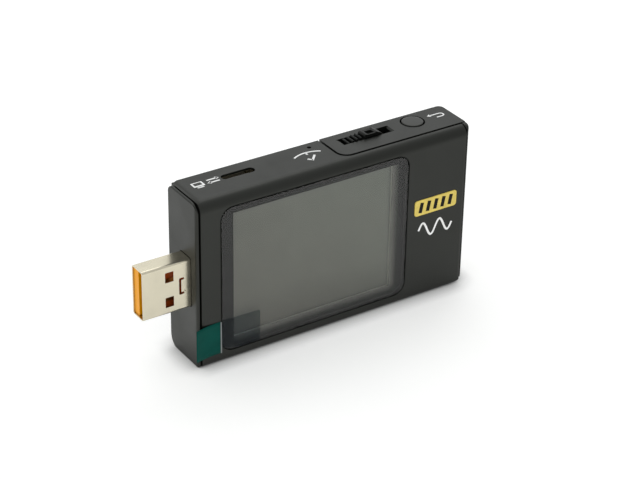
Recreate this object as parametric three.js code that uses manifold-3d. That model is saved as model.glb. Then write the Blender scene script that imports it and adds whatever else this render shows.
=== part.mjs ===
// An in-line USB power meter that stands on its long narrow edge.
// Millimetres. +X runs from the plug end to the socket end, +Y from the display to the back, +Z up.
// The origin is the centre of the bottom face that the meter rests on.
import * as THREE from "three";
import { mergeVertices } from "three/addons/utils/BufferGeometryUtils.js";
import Module from "manifold-3d";

const wasm = await Module();
wasm.setup();

// ---- Driving dimensions ----

const BODY_LENGTH = 71.05;
const BODY_DEPTH = 12.2;
const BODY_HEIGHT = 40.3;
const FRONT_TOP_RADIUS = 2.5;
const FRONT_BOTTOM_RADIUS = 1.25;
const BACK_BOTTOM_RADIUS = 3.0;
const PLUG_END = { frontRadius: 1.3, edgeRadius: 0.35 };
const SOCKET_END = { frontRadius: 1.9, backRadius: 1.3, bottomRadius: 3.8 };

// At the plug end the top face drops a little, up to a short slope.
const SHOULDER = { length: 1.6, slope: 0.45, drop: 0.25 };

const SEAM_GAP = 0.3;
const TAB_SEAM = 0.4;
const WALL = 1.3;
const FRONT_WALL = 2.0;
const BACK_WALL = 1.6;
const END_PLATE = { plug: 0.5, socket: 0.95 };
const PLUG_PLATE = { seam: 0.4, frontRadius: 3.1, backRadius: 1.6 };
const CORE_END = 1.6;
const LIP_END = 2.0;
const FIT_GAP = 0.05;

const LEFT = -BODY_LENGTH / 2;
const RIGHT = BODY_LENGTH / 2;
const FRONT = -BODY_DEPTH / 2;
const BACK = BODY_DEPTH / 2;
const TOP = BODY_HEIGHT;
const FAR = 100;

// Display: the window sits in a recess, and the rest is stacked behind it.
const WINDOW = { x0: LEFT + 5.6, x1: LEFT + 54.2, z0: 2.25, z1: 37.99, radius: 3.1 };
const WINDOW_GAP = 0.25;
const ACTIVE = { x0: LEFT + 9.36, x1: LEFT + 50.3, z0: 4.85, z1: 35.59 };
const WINDOW_RECESS = 1.15;
const DISPLAY_OPENING_INSET = 1.3;
const POLARISER_MARGIN = 0.55;

// Plug end and the two sockets on the other end.
const PLUG = { length: 11.7, inside: 5.2, width: 12.0, depth: 4.5, radius: 0.6, sheet: 0.3 };
const PLUG_Y = FRONT + 5.2;
const PLUG_Z = 20.35;
const CONTACT_PITCHES = [-3.5, -1.0, 1.0, 3.5];
const SOCKET = { length: 13.0, width: 13.1, depth: 5.7, radius: 0.5, sheet: 0.3 };
const SOCKET_Y = PLUG_Y;
const SOCKET_Z = 13.9;
const TYPE_C = { length: 7.4, width: 8.94, depth: 3.26, sheet: 0.3 };
const TYPE_C_Y = FRONT + 5.9;
const TYPE_C_Z = 27.2;

// Data port in the top face.
const PORT = { width: 8.2, depth: 2.1, length: 5.4, sheet: 0.3, lip: 0.5, tongueDrop: 0.75 };
const PORT_X = LEFT + 14.85;
const PORT_Y = FRONT + 8.15;

// Control panel on the top face: a tab of the rear shell.
const TAB = { x0: LEFT + 38.15, y0: FRONT + 2.75, thickness: 1.4, radius: 2.4, proud: 0.15 };
const JOG_SLOT = {
  x0: LEFT + 41.75,
  x1: LEFT + 54.4,
  y0: FRONT + 7.05,
  y1: FRONT + 10.0,
  depth: 4.5,
  rampLength: 0.65,
  rampDrop: 0.3,
  chamfer: 0.4,
};
const JOG_X = LEFT + 48.0;
const JOG_Y = FRONT + 8.525;
const JOG_WIDTH = 2.55;
const JOG_PIVOT_DROP = 4.6;
const JOG_REACH = { plug: 5.5, socket: 4.6 };
const JOG_PIN_RADIUS = 0.5;
const JOG_NECK = 1.3;
const JOG_UNDERSIDE_DROP = 2.6;
const JOG_CHEEK = { inner: 0.95, outer: 1.5 };
const BUTTON = { x: LEFT + 60.8, y: FRONT + 8.7, radius: 2.5, hole: 2.88, proud: 0.35 };
const RESET = { x: LEFT + 34.3, y: FRONT + 10.35, hole: 0.5, plunger: 0.6 };

// Board, between the display frame and the back wall.
const BOARD = { x0: LEFT + 2.4, x1: RIGHT - 2.4, y0: FRONT + 7.65, y1: FRONT + 8.85, z0: 2.6, z1: TOP - 2.2 };
const SWITCH_NOTCH = { x0: LEFT + 41.4, x1: LEFT + 63.9, drop: 8.4 };

const SCREWS = [
  { x: LEFT + 4.0, z: 5.0 },
  { x: LEFT + 4.0, z: TOP - 5.0 },
  { x: RIGHT - 4.2, z: 4.8 },
  { x: RIGHT - 4.2, z: TOP - 5.0 },
];
const SCREW = {
  head: 1.25,
  headHeight: 0.8,
  sunk: 0.25,
  shank: 0.5,
  pilot: 0.56,
  boss: 1.4,
  bossStart: FRONT + FRONT_WALL,
};

// Peel-off film on the window, with its pull tab.
const FILM = { thickness: 0.1, inset: 0.3 };
const PATCH = { x0: LEFT + 5.75, x1: LEFT + 15.4, z0: 2.5, z1: 10.6 };
const TAB_FILM = { x0: LEFT - 1.0, x1: LEFT + 5.45, z0: 2.5, z1: 10.45, lift: 0.8, thickness: 0.12 };
const BADGE = {
  x0: LEFT + 56.05,
  x1: LEFT + 67.6,
  z0: 21.4,
  z1: 25.3,
  radius: 0.7,
  proud: 0.12,
  recess: 0.2,
};

const ARC_STEPS = 4;
const CORNER_STEPS = 8;
const ROUND_SEGMENTS = 24;
const SMALL_SEGMENTS = 14;

// ---- Materials ----

const finish = (color, roughness, metalness = 0) => ({ color, roughness, metalness });
const SHELL_BLACK = finish(0x3b3c38, 0.6);
const CONTROL_BLACK = finish(0x2e302e, 0.5);
const SILVER = finish(0xcdc6b4, 0.3, 1);
const ORANGE = finish(0xe08a2c, 0.5);
const GOLD = finish(0xc9a24a, 0.3, 1);
const BOARD_GREEN = finish(0x14503a, 0.5);
const CHIP_BLACK = finish(0x1c1c1e, 0.6);
const DISPLAY_GREY = finish(0x6b6c69, 0.5);
const CLEAR = finish(0x9a9c98, 0.1);
const STEEL = finish(0x9a9a98, 0.35, 1);
const FOAM = finish(0x202020, 0.9);
const WHITE = finish(0xe8e8e4, 0.5);
const AMBER = finish(0xb5762c, 0.4);
const YELLOW = finish(0xdcc35a, 0.5);
const TAB_GREEN = finish(0x0f5a4c, 0.4);
const PATCH_BLUE = finish(0x1c2428, 0.2);

// ---- Solids ----

// A closed three.js geometry as a solid that can be joined and cut.
function solid(geometry) {
  const bare = geometry.clone();
  bare.deleteAttribute("normal");
  bare.deleteAttribute("uv");
  const merged = mergeVertices(bare, 1e-4);
  return new wasm.Manifold(
    new wasm.Mesh({
      numProp: 3,
      vertProperties: merged.attributes.position.array,
      triVerts: new Uint32Array(merged.index.array),
    }),
  );
}

// A solid back as a three.js geometry.
function geometryOf(body) {
  const mesh = body.getMesh();
  const positions = new Float32Array(mesh.numVert * 3);
  for (let i = 0; i < mesh.numVert; i += 1) {
    const start = i * mesh.numProp;
    positions.set(mesh.vertProperties.subarray(start, start + 3), i * 3);
  }
  const geometry = new THREE.BufferGeometry();
  geometry.setAttribute("position", new THREE.BufferAttribute(positions, 3));
  geometry.setIndex(new THREE.BufferAttribute(mesh.triVerts, 1));
  return geometry;
}

const parts = new THREE.Group();

// Adds one named piece to the model.
function piece(name, body, look) {
  const geometry = geometryOf(body);
  geometry.computeVertexNormals();
  const mesh = new THREE.Mesh(geometry, new THREE.MeshStandardMaterial(look));
  mesh.name = name;
  parts.add(mesh);
}

function block(x0, x1, y0, y1, z0, z1) {
  const geometry = new THREE.BoxGeometry(x1 - x0, y1 - y0, z1 - z0);
  geometry.translate((x0 + x1) / 2, (y0 + y1) / 2, (z0 + z1) / 2);
  return solid(geometry);
}

// A rectangle with its own radius at each corner, in the order low-low, high-low, high-high, low-high.
function roundedRectangle(u0, u1, v0, v1, radii) {
  const [a, b, c, d] = radii;
  const shape = new THREE.Shape();
  shape.moveTo(u0 + a, v0);
  shape.lineTo(u1 - b, v0);
  if (b > 0) shape.absarc(u1 - b, v0 + b, b, -Math.PI / 2, 0, false);
  shape.lineTo(u1, v1 - c);
  if (c > 0) shape.absarc(u1 - c, v1 - c, c, 0, Math.PI / 2, false);
  shape.lineTo(u0 + d, v1);
  if (d > 0) shape.absarc(u0 + d, v1 - d, d, Math.PI / 2, Math.PI, false);
  shape.lineTo(u0, v0 + a);
  if (a > 0) shape.absarc(u0 + a, v0 + a, a, Math.PI, Math.PI * 1.5, false);
  return shape;
}

const evenRadii = (radius) => [radius, radius, radius, radius];

const AXES = {
  // Outline in Y and Z, drawn out along X.
  x: new THREE.Matrix4().makeBasis(
    new THREE.Vector3(0, 1, 0),
    new THREE.Vector3(0, 0, 1),
    new THREE.Vector3(1, 0, 0),
  ),
  // Outline in X and Z, drawn out towards -Y.
  y: new THREE.Matrix4().makeBasis(
    new THREE.Vector3(1, 0, 0),
    new THREE.Vector3(0, 0, 1),
    new THREE.Vector3(0, -1, 0),
  ),
  z: new THREE.Matrix4(),
};

function drawn(shape, axis, from, to, options = {}) {
  const geometry = new THREE.ExtrudeGeometry(shape, {
    depth: to - from,
    bevelEnabled: false,
    curveSegments: ARC_STEPS,
    ...options,
  });
  geometry.applyMatrix4(AXES[axis]);
  if (axis === "x") geometry.translate(from, 0, 0);
  if (axis === "y") geometry.translate(0, to, 0);
  if (axis === "z") geometry.translate(0, 0, from);
  return solid(geometry);
}

function rodY(x, z, radius, y0, y1, segments = SMALL_SEGMENTS) {
  const geometry = new THREE.CylinderGeometry(radius, radius, y1 - y0, segments);
  geometry.translate(x, (y0 + y1) / 2, z);
  return solid(geometry);
}

function rodZ(x, y, radius, z0, z1, segments = SMALL_SEGMENTS) {
  const geometry = new THREE.CylinderGeometry(radius, radius, z1 - z0, segments);
  geometry.rotateX(Math.PI / 2);
  geometry.translate(x, y, (z0 + z1) / 2);
  return solid(geometry);
}

const join = (first, ...others) => others.reduce((sum, other) => sum.add(other), first);
const cut = (first, ...others) => others.reduce((rest, other) => rest.subtract(other), first);

// A plate in the front plane with even round corners.
function frontPlate(area, inset, radius, y0, y1) {
  const shape = roundedRectangle(
    area.x0 + inset,
    area.x1 - inset,
    area.z0 + inset,
    area.z1 - inset,
    evenRadii(radius),
  );
  return drawn(shape, "y", y0, y1);
}

function frontBlock(area, inset, y0, y1) {
  return block(area.x0 + inset, area.x1 - inset, y0, y1, area.z0 + inset, area.z1 - inset);
}

// A bar along X with even round corners.
function barX(x0, x1, y0, y1, z0, z1, radius) {
  return drawn(roundedRectangle(y0, y1, z0, z1, evenRadii(radius)), "x", x0, x1);
}

// A tube of folded sheet along X: outer outline minus the inner one, open at both ends.
function sheetTube(size, y, z, x0, x1, radius) {
  const halfDepth = size.depth / 2;
  const halfWidth = size.width / 2;
  const inner = Math.max(radius - size.sheet, 0.1);
  const outside = roundedRectangle(
    y - halfDepth,
    y + halfDepth,
    z - halfWidth,
    z + halfWidth,
    evenRadii(radius),
  );
  const inside = roundedRectangle(
    y - halfDepth + size.sheet,
    y + halfDepth - size.sheet,
    z - halfWidth + size.sheet,
    z + halfWidth - size.sheet,
    evenRadii(inner),
  );
  return cut(drawn(outside, "x", x0, x1), drawn(inside, "x", x0 - 1, x1 + 1));
}

// ---- Enclosure ----

// The body's section in Y and Z. The back top edge is crisp, the others are rounded.
function bodySection(inset, rise = 0) {
  const radius = (full) => Math.max(full - inset, 0.15);
  return roundedRectangle(FRONT + inset, BACK - inset, inset, TOP + rise - inset, [
    radius(FRONT_BOTTOM_RADIUS),
    radius(BACK_BOTTOM_RADIUS),
    0,
    radius(FRONT_TOP_RADIUS),
  ]);
}

// The body's outline in X and Z: round lower corners, and the shoulder in the top face at the plug end.
function bodySide(rise) {
  const edge = PLUG_END.edgeRadius;
  const corner = SOCKET_END.bottomRadius;
  const shoulderTop = TOP - SHOULDER.drop;
  const slopeEnd = LEFT + SHOULDER.length + SHOULDER.slope;
  const shape = new THREE.Shape();
  shape.moveTo(LEFT + edge, 0);
  shape.lineTo(RIGHT - corner, 0);
  shape.absarc(RIGHT - corner, corner, corner, -Math.PI / 2, 0, false);
  shape.lineTo(RIGHT, TOP + rise);
  shape.lineTo(slopeEnd, TOP + rise);
  shape.lineTo(slopeEnd, TOP);
  shape.lineTo(LEFT + SHOULDER.length, shoulderTop);
  shape.lineTo(LEFT + edge, shoulderTop);
  shape.absarc(LEFT + edge, shoulderTop - edge, edge, Math.PI / 2, Math.PI, false);
  shape.lineTo(LEFT, edge);
  shape.absarc(LEFT + edge, edge, edge, Math.PI, Math.PI * 1.5, false);
  return drawn(shape, "y", FRONT - 1, BACK + 1, { curveSegments: CORNER_STEPS });
}

// The whole body. Its upright edges are rounded, apart from the back one at the plug end.
function bodyBlank(rise) {
  const radii = [PLUG_END.frontRadius, SOCKET_END.frontRadius, SOCKET_END.backRadius, 0];
  const plan = drawn(roundedRectangle(LEFT, RIGHT, FRONT, BACK, radii), "z", -1, TOP + 1);
  const section = drawn(bodySection(0, rise), "x", LEFT - 1, RIGHT + 1);
  return section.intersect(plan).intersect(bodySide(rise));
}

function controlTab(grow, z0, z1) {
  const radii = [TAB.radius + grow, 0, 0, 0];
  const shape = roundedRectangle(TAB.x0 - grow, RIGHT + 1, TAB.y0 - grow, BACK + 1, radii);
  return drawn(shape, "z", z0, z1);
}

const SHELL_START = LEFT + END_PLATE.plug + PLUG_PLATE.seam;
const SHELL_END = RIGHT - END_PLATE.socket - SEAM_GAP;
const CORNER_FILL = { x0: RIGHT - 4.2, top: 2.3 };
const PANEL = { z0: 3.3, z1: TOP - WALL - SEAM_GAP };

function screwBoss({ x, z }) {
  const boss = rodY(x, z, SCREW.boss, SCREW.bossStart - 0.5, BACK - BACK_WALL - 0.2, SMALL_SEGMENTS);
  const pilot = rodY(x, z, SCREW.pilot, FRONT + 5.0, BACK, SMALL_SEGMENTS);
  return cut(boss, pilot);
}

function portOutline(grow) {
  const width = PORT.width / 2 + grow;
  const depth = PORT.depth / 2 + grow;
  const radii = evenRadii(depth - 0.01);
  return roundedRectangle(PORT_X - width, PORT_X + width, PORT_Y - depth, PORT_Y + depth, radii);
}

function frontShell() {
  const outside = bodyBlank(0).intersect(block(SHELL_START, SHELL_END, -FAR, FAR, -1, FAR));
  const roomSection = roundedRectangle(FRONT + FRONT_WALL, BACK + 1, WALL, TOP - WALL, [0.4, 0, 0, 0.9]);
  const insideWalls = join(
    drawn(bodySection(WALL), "x", LEFT - 1, RIGHT + 1),
    block(-FAR, FAR, 0, BACK + 1, BACK_BOTTOM_RADIUS, TOP - WALL),
  );
  const hollow = cut(
    drawn(roomSection, "x", LEFT - 1, RIGHT + 1).intersect(insideWalls),
    block(CORNER_FILL.x0, RIGHT + 2, -FAR, FAR, -1, CORNER_FILL.top),
  );
  const tabSpace = controlTab(TAB_SEAM, TOP - TAB.thickness - SEAM_GAP, TOP + 1);
  const tabRootY = BACK - BACK_WALL - SEAM_GAP;
  const behindTab = block(TAB.x0 - TAB_SEAM, RIGHT + 1, tabRootY, BACK + 1, TOP - 3, TOP + 1);
  const port = join(
    drawn(portOutline(0), "z", TOP - WALL - 1, TOP + 1),
    drawn(portOutline(PORT.sheet + 0.1), "z", TOP - WALL - 1, TOP - PORT.lip + FIT_GAP),
  );
  const shell = cut(
    outside,
    hollow,
    tabSpace,
    behindTab,
    frontPlate(WINDOW, 0, WINDOW.radius, FRONT - 1, FRONT + WINDOW_RECESS),
    frontBlock(WINDOW, DISPLAY_OPENING_INSET, FRONT - 1, FRONT + FRONT_WALL + 1),
    port,
    rodZ(RESET.x, RESET.y, RESET.hole, TOP - WALL - 1, TOP + 1),
    frontPlate(BADGE, -0.1, BADGE.radius + 0.1, FRONT - 1, FRONT + BADGE.recess),
  );
  return join(shell, ...SCREWS.map(screwBoss));
}

// The face of the plug end is rounder at its upper corners than the shell behind it.
function plugPlateOutline() {
  const radii = [FRONT_BOTTOM_RADIUS, BACK_BOTTOM_RADIUS, PLUG_PLATE.backRadius, PLUG_PLATE.frontRadius];
  return drawn(roundedRectangle(FRONT, BACK, 0, TOP - SHOULDER.drop, radii), "x", LEFT - 1, LEFT + 1);
}

// One end of the rear shell: the end plate, its thicker core and the lip that locates the front shell.
function endPlate(blank, side) {
  const face = side < 0 ? LEFT : RIGHT;
  const thickness = side < 0 ? END_PLATE.plug : END_PLATE.socket;
  const slab = (near, far) => {
    const ends = [face - side * near, face - side * far];
    return block(Math.min(...ends), Math.max(...ends), -FAR, FAR, -1, FAR);
  };
  const insideShell = drawn(bodySection(WALL + 0.2), "x", LEFT, RIGHT);
  const core = insideShell.intersect(slab(thickness - 0.2, CORE_END));
  const lip = cut(
    insideShell.intersect(slab(thickness - 0.2, LIP_END)),
    drawn(bodySection(WALL + 1.3), "x", LEFT - 1, RIGHT + 1),
  );
  const bossSpaces = SCREWS.map(({ x, z }) => rodY(x, z, SCREW.boss + 0.2, FRONT, BACK - BACK_WALL));
  const inner = cut(
    join(core, lip),
    block(-FAR, FAR, FRONT, FRONT + FRONT_WALL + 0.2, -1, FAR),
    block(CORNER_FILL.x0, RIGHT - thickness, -FAR, FAR, -1, CORNER_FILL.top + 0.2),
    ...bossSpaces,
  );
  const plate = blank.intersect(slab(0, thickness));
  return join(side < 0 ? plate.intersect(plugPlateOutline()) : plate, inner);
}

function socketHole(y, z, depth, width, radius) {
  return barX(RIGHT - 3, RIGHT + 1, y - depth / 2, y + depth / 2, z - width / 2, z + width / 2, radius);
}

// The slot for the jog lever, with a ramp at the plug end and a chamfer at the socket end.
function jogSlot() {
  const { x0, x1, y0, y1, depth, rampLength, rampDrop, chamfer } = JOG_SLOT;
  const top = TOP + TAB.proud;
  const shape = new THREE.Shape();
  shape.moveTo(x0, TOP - depth);
  shape.lineTo(x1, TOP - depth);
  shape.lineTo(x1, top - chamfer);
  shape.lineTo(x1 + chamfer, top);
  shape.lineTo(x1 + chamfer, top + 1);
  shape.lineTo(x0 - rampLength, top + 1);
  shape.lineTo(x0 - rampLength, top);
  shape.lineTo(x0, top - rampDrop);
  return drawn(shape, "y", y0, y1);
}

function rearShell() {
  const blank = bodyBlank(0);
  const panel = blank.intersect(block(-FAR, FAR, BACK - BACK_WALL, BACK + 1, PANEL.z0, PANEL.z1));
  const tab = bodyBlank(TAB.proud).intersect(controlTab(0, TOP - TAB.thickness, TOP + 1));
  const tabRoot = blank.intersect(block(TAB.x0, RIGHT, BACK - BACK_WALL, BACK + 1, PANEL.z1 - 1, TOP + 1));
  const whole = join(endPlate(blank, -1), endPlate(blank, 1), panel, tab, tabRoot);
  const plugHole = drawn(
    roundedRectangle(
      PLUG_Y - PLUG.depth / 2 - 0.15,
      PLUG_Y + PLUG.depth / 2 + 0.15,
      PLUG_Z - PLUG.width / 2 - 0.15,
      PLUG_Z + PLUG.width / 2 + 0.15,
      evenRadii(PLUG.radius + 0.1),
    ),
    "x",
    LEFT - 1,
    LEFT + 3,
  );
  const switchPocket = block(RESET.x - 2.2, RESET.x + 2.2, BACK - BACK_WALL - 1, BACK - 0.8, TOP - 7, TOP);
  const screwHoles = SCREWS.flatMap(({ x, z }) => [
    rodY(x, z, 0.7, BACK - BACK_WALL - 1, BACK + 1),
    rodY(x, z, SCREW.head + 0.2, BACK - 1.1, BACK + 1, ROUND_SEGMENTS),
  ]);
  return cut(
    whole,
    plugHole,
    socketHole(SOCKET_Y, SOCKET_Z, SOCKET.depth + 0.3, SOCKET.width + 0.3, SOCKET.radius + 0.15),
    socketHole(TYPE_C_Y, TYPE_C_Z, TYPE_C.depth + 0.3, TYPE_C.width + 0.3, TYPE_C.depth / 2 + 0.14),
    jogSlot(),
    rodZ(BUTTON.x, BUTTON.y, BUTTON.hole, TOP - JOG_SLOT.depth, TOP + 1, ROUND_SEGMENTS),
    switchPocket,
    ...screwHoles,
  );
}

// A pan-head screw with a cross recess, driven in from the back.
function caseScrew({ x, z }) {
  const headTop = BACK - SCREW.sunk;
  const headBottom = headTop - SCREW.headHeight;
  const recess = headTop - 0.4;
  const head = rodY(x, z, SCREW.head, headBottom, headTop, ROUND_SEGMENTS);
  const shank = rodY(x, z, SCREW.shank, FRONT + 5.4, headBottom + 0.1);
  return cut(
    join(head, shank),
    block(x - 0.75, x + 0.75, recess, BACK, z - 0.16, z + 0.16),
    block(x - 0.16, x + 0.16, recess, BACK, z - 0.75, z + 0.75),
  );
}

function enclosure() {
  piece("front_shell", frontShell(), SHELL_BLACK);
  piece("rear_shell", rearShell(), SHELL_BLACK);
  SCREWS.forEach((place, i) => piece(`case_screw_${i + 1}`, caseScrew(place), STEEL));
  const badgeBack = FRONT + BADGE.recess - FIT_GAP;
  piece("front_badge", frontPlate(BADGE, 0, BADGE.radius, FRONT - BADGE.proud, badgeBack), YELLOW);
}

// ---- Display ----

function display() {
  const at = (depth) => FRONT + depth;
  const windowPlate = frontPlate(WINDOW, WINDOW_GAP, WINDOW.radius - WINDOW_GAP, at(0.12), at(0.98));
  piece("display_window", windowPlate, CLEAR);
  const mask = frontPlate(WINDOW, 0.35, WINDOW.radius - 0.35, at(1.0), at(1.12));
  piece("window_mask", cut(mask, frontBlock(ACTIVE, 0, at(0), at(2))), CHIP_BLACK);
  const gasketOutside = frontBlock(WINDOW, DISPLAY_OPENING_INSET + 0.2, at(1.17), at(1.55));
  const gasketInside = frontBlock(ACTIVE, -POLARISER_MARGIN - FIT_GAP, at(0), at(3));
  piece("foam_gasket", cut(gasketOutside, gasketInside), FOAM);
  piece("lcd_polariser", frontBlock(ACTIVE, -POLARISER_MARGIN, at(1.6), at(1.8)), DISPLAY_GREY);
  piece("lcd_glass", frontBlock(WINDOW, DISPLAY_OPENING_INSET + 0.3, at(1.85), at(2.9)), CLEAR);
  piece("lcd_backlight_frame", frontBlock(WINDOW, 1.0, at(2.95), at(4.3)), WHITE);
  const cableX = (ACTIVE.x0 + ACTIVE.x1) / 2;
  piece("lcd_flex_cable", block(cableX - 5, cableX + 5, at(4.35), at(4.55), 6, 20), AMBER);

  const film = frontPlate(WINDOW, FILM.inset, WINDOW.radius - FILM.inset, at(0), at(FILM.thickness));
  piece("protective_film", film, CLEAR);
  piece("film_patch", frontBlock(PATCH, 0, at(-0.14), at(-0.03)), PATCH_BLUE);
  piece("film_pull_tab", pullTab(), TAB_GREEN);
}

// The pull tab leaves the window's edge flat on the shell and curls forward towards the end face.
function pullTab() {
  const root = new THREE.Vector2(TAB_FILM.x1, FRONT - 0.04);
  const middle = new THREE.Vector2((TAB_FILM.x0 * 2 + TAB_FILM.x1) / 3, FRONT - 0.1);
  const tip = new THREE.Vector2(TAB_FILM.x0, FRONT - TAB_FILM.lift);
  const line = new THREE.QuadraticBezierCurve(root, middle, tip).getPoints(ARC_STEPS * 2);
  const shape = new THREE.Shape();
  shape.moveTo(line[0].x, line[0].y);
  line.slice(1).forEach((point) => shape.lineTo(point.x, point.y));
  line.reverse().forEach((point) => shape.lineTo(point.x, point.y - TAB_FILM.thickness));
  return drawn(shape, "z", TAB_FILM.z0, TAB_FILM.z1);
}

// ---- Plug, sockets and port ----

function plugShell() {
  const front = PLUG_Y - PLUG.depth / 2;
  const tip = LEFT - PLUG.length;
  const tube = sheetTube(PLUG, PLUG_Y, PLUG_Z, tip, LEFT + PLUG.inside, PLUG.radius);
  const windows = [-3.05, 3.05].map((z) =>
    block(tip + 5.5, tip + 7.5, FRONT, BACK, PLUG_Z + z - 1.1, PLUG_Z + z + 1.1),
  );
  const latch = [
    block(LEFT - 2.65, LEFT - 2.35, front - 1, front + 0.6, PLUG_Z - 1.8, PLUG_Z + 1.8),
    block(LEFT - 2.5, LEFT - 1.65, front - 1, front + 0.6, PLUG_Z + 1.5, PLUG_Z + 1.8),
    block(LEFT - 2.5, LEFT - 1.65, front - 1, front + 0.6, PLUG_Z - 1.8, PLUG_Z - 1.5),
  ];
  return cut(tube, ...windows, ...latch);
}

// Flat contacts let into a tongue, with a small gap all round.
function contactRow(prefix, y0, y1, x0, x1, centreZ) {
  const lengths = [1, 0.88, 0.88, 1];
  CONTACT_PITCHES.forEach((pitch, i) => {
    const near = x1 - (x1 - x0) * lengths[i];
    piece(`${prefix}_${i + 1}`, block(near, x1, y0, y1, centreZ + pitch - 0.5, centreZ + pitch + 0.5), GOLD);
  });
}

function plug() {
  const inner = PLUG.depth / 2 - PLUG.sheet - FIT_GAP;
  const half = PLUG.width / 2 - PLUG.sheet - FIT_GAP;
  const tip = LEFT - PLUG.length;
  const back = PLUG_Y + inner;
  const face = back - 1.95;
  piece("usb_a_plug_shell", plugShell(), SILVER);
  const corner = PLUG.radius - PLUG.sheet;
  const tongue = join(
    barX(tip + 0.35, LEFT + PLUG.inside - 0.2, face, back, PLUG_Z - half, PLUG_Z + half, corner),
    barX(LEFT - 1.2, LEFT + PLUG.inside - 0.2, PLUG_Y - inner, back, PLUG_Z - half, PLUG_Z + half, corner),
  );
  piece("plug_tongue", tongue, ORANGE);
  contactRow("plug_contact", face - 0.2, face - 0.02, tip + 1.6, LEFT - 1.3, PLUG_Z);
}

function sockets() {
  const mouth = RIGHT - 0.25;
  const start = mouth - SOCKET.length;
  const inner = SOCKET.depth / 2 - SOCKET.sheet - FIT_GAP;
  const half = SOCKET.width / 2 - SOCKET.sheet - FIT_GAP;
  piece("usb_a_socket_shell", sheetTube(SOCKET, SOCKET_Y, SOCKET_Z, start, mouth, SOCKET.radius), SILVER);
  const corner = SOCKET.radius - SOCKET.sheet + FIT_GAP;
  const tongueBack = SOCKET_Y - 0.1;
  const tongue = join(
    block(start + 0.2, mouth - 0.6, tongueBack - 1.84, tongueBack, SOCKET_Z - 5.55, SOCKET_Z + 5.55),
    barX(
      start + 0.2,
      start + 3,
      SOCKET_Y - inner,
      SOCKET_Y + inner,
      SOCKET_Z - half,
      SOCKET_Z + half,
      corner,
    ),
  );
  piece("socket_tongue", tongue, ORANGE);
  contactRow("socket_contact", tongueBack + 0.02, tongueBack + 0.2, start + 3.1, mouth - 1.6, SOCKET_Z);

  const typeCStart = mouth - TYPE_C.length;
  const round = TYPE_C.depth / 2 - 0.01;
  piece("usb_c_socket_shell", sheetTube(TYPE_C, TYPE_C_Y, TYPE_C_Z, typeCStart, mouth, round), SILVER);
  const typeCTongue = join(
    block(typeCStart + 0.2, mouth - 0.7, TYPE_C_Y - 0.35, TYPE_C_Y + 0.35, TYPE_C_Z - 3.3, TYPE_C_Z + 3.3),
    block(typeCStart + 0.2, typeCStart + 1.6, TYPE_C_Y - 1.0, TYPE_C_Y + 1.0, TYPE_C_Z - 3.3, TYPE_C_Z + 3.3),
  );
  piece("usb_c_tongue", typeCTongue, CHIP_BLACK);
}

function dataPort() {
  const top = TOP - PORT.lip;
  const bottom = top - PORT.length;
  const outside = drawn(portOutline(PORT.sheet), "z", bottom, top);
  const inside = drawn(portOutline(0), "z", bottom - 1, top + 1);
  piece("pc_port_shell", cut(outside, inside), SILVER);
  const tongue = join(
    block(PORT_X - 2.8, PORT_X + 2.8, PORT_Y - 0.3, PORT_Y + 0.3, bottom + 0.2, TOP - PORT.tongueDrop),
    block(PORT_X - 2.8, PORT_X + 2.8, PORT_Y - 0.8, PORT_Y + 0.8, bottom + 0.2, bottom + 1.5),
  );
  piece("pc_port_tongue", tongue, CHIP_BLACK);
}

// ---- Board and the parts on it ----

function mainBoard() {
  const blank = block(BOARD.x0, BOARD.x1, BOARD.y0, BOARD.y1, BOARD.z0, BOARD.z1);
  const portNotch = block(PORT_X - 4.8, PORT_X + 4.8, FRONT, BACK, TOP - WALL - PORT.length - 0.3, FAR);
  const switchNotch = block(SWITCH_NOTCH.x0, SWITCH_NOTCH.x1, FRONT, BACK, TOP - SWITCH_NOTCH.drop, FAR);
  const bossNotches = SCREWS.map(({ x, z }) => {
    const outward = Math.sign(x);
    const near = x - outward * (SCREW.boss + 0.25);
    const far = x + outward * 6;
    return block(Math.min(near, far), Math.max(near, far), FRONT, BACK, z - 1.65, z + 1.65);
  });
  const socketStart = RIGHT - 0.6 - SOCKET.length;
  const socketReach = SOCKET.width / 2 + 0.3;
  const socketNotch = block(socketStart, RIGHT, FRONT, BACK, SOCKET_Z - socketReach, SOCKET_Z + socketReach);
  return cut(blank, portNotch, switchNotch, socketNotch, ...bossNotches);
}

function boardParts() {
  const back = BOARD.y1 + FIT_GAP;
  const front = BOARD.y0 - FIT_GAP;
  const onBack = (name, x, z, w, h, t, look) =>
    piece(name, block(x - w / 2, x + w / 2, back, back + t, z - h / 2, z + h / 2), look);
  piece("main_board", mainBoard(), BOARD_GREEN);
  onBack("mcu_chip", LEFT + 30, 18, 7, 7, 1.0, CHIP_BLACK);
  onBack("memory_chip", LEFT + 42, 18, 5, 4, 1.0, CHIP_BLACK);
  onBack("adc_chip", LEFT + 50, 12, 3, 3, 0.9, CHIP_BLACK);
  onBack("crystal_can", LEFT + 30, 26, 3.2, 2.5, 0.8, STEEL);
  onBack("shunt_resistor", LEFT + 58, 18, 3.2, 6.3, 0.7, CHIP_BLACK);
  onBack("output_mosfet", LEFT + 18, 12, 3.3, 3.3, 0.9, CHIP_BLACK);
  onBack("regulator_coil", LEFT + 20, 22, 4, 4, 1.4, CHIP_BLACK);
  piece("bulk_capacitor", block(LEFT + 55.2, LEFT + 57, front - 2.2, front, 32, 35.2), AMBER);
}

// ---- Controls ----

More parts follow.
